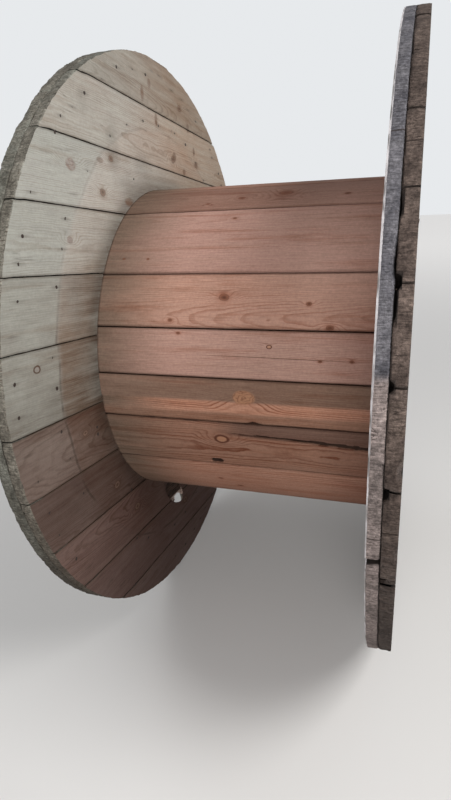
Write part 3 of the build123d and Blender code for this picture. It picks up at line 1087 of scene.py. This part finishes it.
staveLook = {
    **basicLook, "seed": 9.0, "rim": False, "grainAxis": (1, 0, 0), "extra": staveExtra, "tones": {
        0: (168, 132, 116, 0.6), 1: (172, 136, 124, 0.35), 2: (178, 138, 121, 0.50),
        3: (176, 140, 127, 0.50), 4: (182, 134, 111, 0.95), 5: (144, 106, 88, 0.90),
        6: (172, 128, 108, 0.75), 7: (166, 130, 114, 0.7), 8: (158, 122, 104, 0.6), 9: (172, 136, 120, 0.5),
        10: (150, 118, 102, 0.7), 11: (168, 130, 112, 0.6), 12: (162, 126, 110, 0.5),
        13: (174, 138, 120, 0.8), 14: (156, 120, 102, 0.6), 15: (168, 132, 114, 0.7),
        16: (160, 124, 108, 0.5), 17: (172, 134, 116, 0.6), 18: (158, 122, 106, 0.8),
        19: (166, 128, 112, 0.6), 20: (143, 109, 96, 0.7)},
    "knots": [
        (20, -0.025, 0.0139, 0.0042, "dark"), (20, -0.0881, 0.0323, 0.0026, "dark"),
        (20, 0.1732, 0.0166, 0.0034, "dark"), (1, -0.0215, -0.0472, 0.0026, "dark"),
        (1, -0.1698, 0.0462, 0.0018, "dark"), (1, -0.2191, 0.0452, 0.0018, "dark"),
        (2, -0.0132, -0.0047, 0.0056, "dark"), (2, 0.1339, 0.0056, 0.0030, "dark"),
        (2, -0.1102, 0.0359, 0.0028, "dark"), (2, 0.1705, 0.0442, 0.0040, "dark"),
        (3, 0.0711, -0.0150, 0.0030, "ring"), (3, 0.1569, 0.0067, 0.0022, "dark"),
        (3, 0.208, 0.0047, 0.0024, "dark"), (3, -0.0938, -0.0344, 0.0024, "dark"),
        (4, 0.0257, -0.0099, 0.0138, "pale"), (4, 0.0393, 0.0425, 0.0044, "dark"),
        (5, -0.0241, -0.0175, 0.0088, "ring"), (6, -0.0531, -0.0154, 0.0030, "dark"),
        (6, -0.020, 0.020, 0.0040, "dark")],
    "lateTint": (178, 134, 110), "ringSpacing": 0.0022, "haloTint": (220, 182, 160), "knot": (124, 80, 62),
    "knotDark": (84, 50, 38), "paleKnot": (166, 122, 94), "knotStrength": 0.85, "grey": (130, 110, 98),
    "greyShare": 0.30, "brown": (214, 184, 168), "brownShare": 0.55, "plainFrom": 0.5, "plainTo": 6.5,
    "strayKnots": 0.040, "fibre": 0.30, "speck": 0.28, "blotch": 0.16, "streak": 0.22, "drift": 0.08,
    "jointDirt": 0.45, "jointReach": 0.0045, "cracks": 0.20, "dirtAndShade": (62, 41, 33), "roughness": 0.82,
    "bump": 0.35, "sawMarks": 0.25,
}
staveWood = makeWood("stavePine", staveLook)


# Torn wood: pale fibres where it broke lately, brightened with painted light as if lit through the outlet,
# brown ones elsewhere
def makeTornWood():
    material = startMaterial("tornPine")
    along, across, depth = split(attribute("grain"))
    fibre, _ = noiseOf(vector(times(along, 30.0), times(across, 420.0), times(depth, 420.0)), detail=3.0)
    litPaleSide = calc("MAXIMUM", ramp(across, -0.3960, -0.4020), ramp(along, 0.020, 0.034))
    share = ramp(fibre, 0.35, 0.65)
    brown = blend(share, (52, 40, 34), (92, 72, 62))
    pale = blend(share, (164, 132, 118), (232, 214, 204))
    colour = blend(litPaleSide, brown, pale)
    finishMaterial(colour, 0.85, 0.2, fibre, 0.5, 0.0006)
    return material


tornWood = makeTornWood()
say("woods mixed")


# One nail: a low domed head, its edge rolled
def makeNail():
    deselectAll()
    bpy.ops.mesh.primitive_cylinder_add(
        vertices=12, radius=nailRings["head"], depth=nailRings["thick"], end_fill_type="NGON",
        rotation=(0, math.pi / 2, 0))
    nail = bpy.context.object
    bakePlace(nail)
    editAll(nail)
    bpy.ops.mesh.select_all(action="DESELECT")
    backToObject()
    for face in nail.data.polygons:
        face.select = face.normal.x > 0.9
    bpy.ops.object.mode_set(mode="EDIT")
    for inset, rise in ((0.0007, 0.0003), (0.0010, 0.0001)):
        bpy.ops.mesh.inset(thickness=inset)
        bpy.ops.transform.translate(value=(rise, 0, 0))
    backToObject()
    return nail


# The nails of one face, heads towards facing (1 or -1 along the axis)
def makeNails(key, facing, seed):
    chance = random.Random(seed)
    faceX = layers[key]["shown"]
    if key.endswith("outer"):
        faceX -= facing * boards["outerRecess"]
    pattern = makeNail()
    heads = []
    for y, z in sum(nailPlaces().values(), []):
        head = copyOf(pattern, "head")
        size = chance.uniform(0.85, 1.15)
        head.scale = (size, size, size)
        lean = math.radians(chance.uniform(-9, 9))
        head.rotation_euler = (0, lean + (0 if facing > 0 else math.pi), math.radians(chance.uniform(-9, 9)))
        drop = chance.uniform(-0.0004, 0.0002) + nailRings["proud"] - 0.0012
        head.location = (faceX + facing * drop, y, z + drum["centre"])
        heads.append(head)
    nails = joinAll(heads, f"{key}_nails")
    bakePlace(nails)
    throwAway(pattern)
    finishPiece(nails, nailSteel, "fastener_steel", smoothAngle=35)


def makeSteel(name, bright, rust, share, roughness):
    material = startMaterial(name)
    position = objectPlace()
    patches, _ = noiseOf(position, scale=60.0, detail=4.0, roughness=0.65)
    grains, _ = noiseOf(position, scale=900.0, detail=2.0, roughness=0.6)
    rusted = (0.5 - share / 2, 0.75 - share / 2)
    colour = darken(blend(ramp(patches, *rusted), bright, rust), scaled(grains, 0.5, 0.75))
    finishMaterial(colour, roughness, 0.5, grains, 0.4, 0.0004)
    feed(tree.nodes["Principled BSDF"].inputs["Metallic"], ramp(patches, *rusted, 0.7, 0.05))
    return material


staves = {
    "widths": (154, 100, 87, 86, 111), "repeats": 4, "firstJoint": 23.6, "gap": 0.0025, "lengthStep": 0.010,
    "edgeLoops": (0.0008, 0.0022, 0.0048), "ease": 0.0016, "easeReach": 0.0014, "roughEase": 0.0007,
    "roughReach": 0.004, "splitLoops": (0.0009, 0.0018, 0.003, 0.0042, 0.006), "splitStart": 0.22,
    "splitWaver": (0.0016, 0.030, 2), "splitRagged": (0.7, 0.012, 5),
    # even shares of the wear, then those of the coarse, medium and fine waves
    "easeWaves": (0.9, 0, 0.6), "roughWaves": (0.5, 1), "chipWaves": (1, 0, 0.6),
    "faceWaves": (0.000132, 0.00022, 0, 0.00008),
}
# A long split in one stave: from and to (along the drum, round from the stave's middle), width, depth
splits = {5: ((-0.020, -0.0335), (0.262, -0.0195), 0.0052, 0.015)}
# Knots that fell out of a stave: along, round from its middle, half length, half width, depth
pits = {5: [(-0.044, 0.0463, 0.012, 0.0080, 0.008)]}
# Slivers broken from a stave's edge: along, which edge, half length, depth, how far in
chips = {
    5: [(-0.150, -1, 0.040, 0.0022, 0.006), (-0.085, -1, 0.022, 0.0030, 0.008),
        (-0.045, -1, 0.018, 0.0016, 0.006)],
    4: [(0.040, 1, 0.010, 0.0050, 0.008), (0.105, 1, 0.030, 0.0012, 0.004)],
    2: [(0.020, 1, 0.060, 0.0012, 0.004), (0.120, 1, 0.020, 0.0016, 0.005)],
    20: [(0.225, 1, 0.014, 0.0020, 0.006)],
}


def staveShares():
    total = sum(staves["widths"]) * staves["repeats"]
    angle = staves["firstJoint"]
    for number, width in enumerate(staves["widths"] * staves["repeats"], start=1):
        share = width * 360 / total
        yield number, angle + share / 2, share
        angle += share


# How far points lie round the barrel from a stave's middle, and from the axis
def acrossStave(points, middleAngle):
    angle, reach = turnAndReach(points)
    turn = np.radians(angle) - math.radians(middleAngle)
    return ((turn + math.pi) % (2 * math.pi) - math.pi) * drum["barrel"], reach


# A waver that changes along the drum only
def waver(points, amount, size, seed):
    return amount * wobble(points * (1, 0, 0), size, seed)


# Push the outside of a stave in along its edges, chips and split
def wearStave(piece, number, middleAngle, halfArc, seed):
    points = pointsOf(piece)
    across, reach = acrossStave(points, middleAngle)
    toEdge = np.clip(halfArc - np.abs(across), 0, 1)
    waves = wavesOf(points, seed, seed + 3, seed + 6)
    eased = np.exp(-(toEdge / staves["easeReach"]) ** 2) * uneven(waves, *staves["easeWaves"])
    rough = np.exp(-toEdge / staves["roughReach"]) * uneven(waves, *staves["roughWaves"])
    inward = staves["ease"] * eased + staves["roughEase"] * rough + uneven(waves, *staves["faceWaves"])
    for place, edge, halfLength, depth, width in chips.get(number, []):
        crosswise = np.clip(1 - (halfArc - edge * across) / width, 0, 1)
        chip = within(points[:, 0] - place, halfLength) ** 0.6 * crosswise
        inward += depth * chip * uneven(waves, *staves["chipWaves"])
    if number in splits:
        start, end, width, depth = splits[number]
        share = np.clip((points[:, 0] - start[0]) / (end[0] - start[0]), 0, 1)
        line = start[1] + (end[1] - start[1]) * share + waver(points, *staves["splitWaver"])
        first = staves["splitStart"]
        opening = width * (first + (1 - first) * share ** 1.2) * (1 + waver(points, *staves["splitRagged"]))
        near = within(across - line, opening) ** 0.35
        inward += depth * near * np.clip(share * 5, 0, 1) * (points[:, 0] > start[0])
    for place, aside, halfLength, halfWidth, depth in pits.get(number, []):
        away = np.hypot((points[:, 0] - place) / halfLength, (across - aside) / halfWidth)
        inward += depth * np.clip(1.15 - away, 0, 1) ** 0.6
    inward = np.where(reach > drum["barrel"] - 0.0005, np.clip(inward, 0, None), 0)
    points[:, 1:] *= ((reach - inward) / np.maximum(reach, 1e-6))[:, None]
    putPoints(piece, points)
    return inward


# Loops beside the line of a split, so that it can open
def cutSplitLoops(number, middleAngle):
    ends = []
    for place, aside in splits[number][:2]:
        y, z = roundDrum(middleAngle + math.degrees(aside / drum["barrel"]), drum["barrel"])
        ends.append(Vector((place, y, z + drum["centre"])))
    inwardAxis = (middle - ends[0] + Vector((ends[0].x, 0, 0))).normalized()
    facing = (ends[1] - ends[0]).cross(inwardAxis).normalized()
    loops = staves["splitLoops"]
    for aside in [-loop for loop in reversed(loops)] + [0, *loops]:
        cutPlace(ends[0] + facing * aside, facing)


def makeBarrel():
    log = addRod("log", drum["barrel"], -drum["staveReach"], drum["staveReach"], drum["barrelSteps"])
    gapTurn = math.degrees(staves["gap"] / 2 / drum["barrel"])
    for number, middleAngle, share in staveShares():
        stave = copyOf(log, f"barrel_stave_{number:02}_worn")
        editAll(stave)
        sides = [(math.radians(middleAngle - share / 2 + gapTurn), 1),
                 (math.radians(middleAngle + share / 2 - gapTurn), -1)]
        for turn, side in sides:
            cutPlace(middle, wayRound(turn) * side, use_fill=True, clear_inner=True)
        turn = math.radians(middleAngle)
        up = Vector((0, -math.sin(turn), math.cos(turn)))
        cutPlace(middle + up * (drum["barrel"] - drum["staveThickness"]), up, use_fill=True, clear_inner=True)
        for inset in staves["edgeLoops"]:
            for turn, side in sides:
                cutPlace(middle, wayRound(turn + side * inset / drum["barrel"]))
        step = staves["lengthStep"]
        if number in splits:
            cutSplitLoops(number, middleAngle)
            step /= 2
        place = -drum["staveReach"] + step
        while place < drum["staveReach"] - 0.001:
            cutPlace((place, 0, 0), (1, 0, 0))
            place += step
        backToObject()
        points = pointsOf(stave)
        across, reach = acrossStave(points, middleAngle)
        halfArc = math.radians(share / 2 - gapTurn) * drum["barrel"]
        inward = wearStave(stave, number, middleAngle, halfArc, seed=50 + number)
        storeGrain(stave, [points[:, 0], across, drum["barrel"] - reach], number, halfArc, inward)
        node = f"barrel_stave_{number:02}"
        finishPiece(stave, staveWood, "stave_pine", node, smoothAngle=drum["smoothAngle"])
    throwAway(log)
    say("barrel staves made")


# Studio: the lamps light the object, and what the camera sees behind it is paler than what lights it
studio = {
    "floor": (0.62, 0.61, 0.60), "floorBounce": (0.16, 0.155, 0.15), "floorSize": 12, "floorRoughness": 0.9,
    "glowReach": (0.8, 4.5), "glow": (0.12, 0.80),
    "room": (0.9, 0.92, 0.95), "roomStrength": 0.30, "backdrop": (0.80, 0.82, 0.84),
    "camera": (0.29256, -1.17278, 1.03687), "cameraTurn": (64.536, 4.663, 17.595), "lens": 25.092,
    "lamps": {
        "frontLamp": {
            "place": (0.45, -2.8, 1.1), "aim": (0, 0, 0.6),
            "size": 1.4, "watts": 45, "tint": (1, 0.98, 0.96)},
        "highLamp": {
            "place": (1.7, -0.75, 2.5), "aim": (-0.2, 0, 0.7),
            "size": 1.0, "watts": 60, "tint": (1, 0.99, 0.97)},
        "backLamp": {
            "place": (-2.6, 1.5, 1.6), "aim": (0, 0, 0.6),
            "size": 1.6, "watts": 34, "tint": (0.97, 0.99, 1)},
    },
}


# 1 for what the camera sees, straight or by gloss or glass, and 0 for light that falls on the object
def seenByCamera():
    path = addNode("LightPath", {}).outputs
    straight = calc("MAXIMUM", path["Is Camera Ray"], path["Is Glossy Ray"])
    return calc("MAXIMUM", straight, path["Is Transmission Ray"])


def makeFloor():
    deselectAll()
    bpy.ops.mesh.primitive_plane_add(size=studio["floorSize"], location=(0, 0, 0))
    floor = bpy.context.object
    floor.name = "floor"
    floor.data.materials.append(startMaterial("paleFloor"))
    shader = tree.nodes["Principled BSDF"]
    colour = blend(seenByCamera(), (*studio["floorBounce"], 1), (*studio["floor"], 1))
    feed(shader.inputs["Base Color"], colour)
    shader.inputs["Roughness"].default_value = studio["floorRoughness"]
    shader.inputs["Emission Color"].default_value = (*studio["floor"], 1)
    x, y, _ = split(objectPlace())
    glow = ramp(calc("SQRT", plus(times(x, x), times(y, y))), *studio["glowReach"], *studio["glow"])
    feed(shader.inputs["Emission Strength"], times(seenByCamera(), glow))


def makeRoom():
    global tree
    world = bpy.data.worlds.new("softRoom")
    bpy.context.scene.world = world
    world.use_nodes = True
    tree = world.node_tree
    background = tree.nodes["Background"]
    seen = seenByCamera()
    feed(background.inputs["Color"], blend(seen, (*studio["room"], 1), (*studio["backdrop"], 1)))
    feed(background.inputs["Strength"], scaled(seen, 1 - studio["roomStrength"], studio["roomStrength"]))


def makeLightsAndCamera():
    for name, lamp in studio["lamps"].items():
        deselectAll()
        bpy.ops.object.light_add(type="AREA", location=lamp["place"])
        light = bpy.context.object
        light.name = name
        light.data.size = lamp["size"]
        light.data.energy = lamp["watts"]
        light.data.color = lamp["tint"]
        light.rotation_euler = (Vector(lamp["aim"]) - light.location).to_track_quat("-Z", "Y").to_euler()
    turn = [math.radians(angle) for angle in studio["cameraTurn"]]
    bpy.ops.object.camera_add(location=studio["camera"], rotation=turn)
    camera = bpy.context.object
    camera.name = "photoCamera"
    camera.data.sensor_width = 36
    camera.data.lens = studio["lens"]
    camera.data.clip_start = 0.01
    bpy.context.scene.camera = camera
    bpy.context.scene.view_settings.view_transform = "Standard"
    say("studio made")


nailSteel = makeSteel("nailSteel", (62, 54, 50), (44, 32, 27), 0.7, 0.75)
rodSteel = makeSteel("rodSteel", (120, 116, 112), (96, 62, 44), 0.8, 0.6)
makeFloor()
makeRoom()
makeLightsAndCamera()
for key in layers:
    makeLayer(key)
makeBarrel()
makeSplinters()
for seed, (key, facing) in enumerate((
        ("left_inner", 1), ("left_outer", -1), ("right_inner", -1), ("right_outer", 1)), start=1):
    makeNails(key, facing, seed)
say("nails driven")
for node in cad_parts.values():
    if not node.hide_render:
        node.data.materials.clear()
        node.data.materials.append(rodSteel)
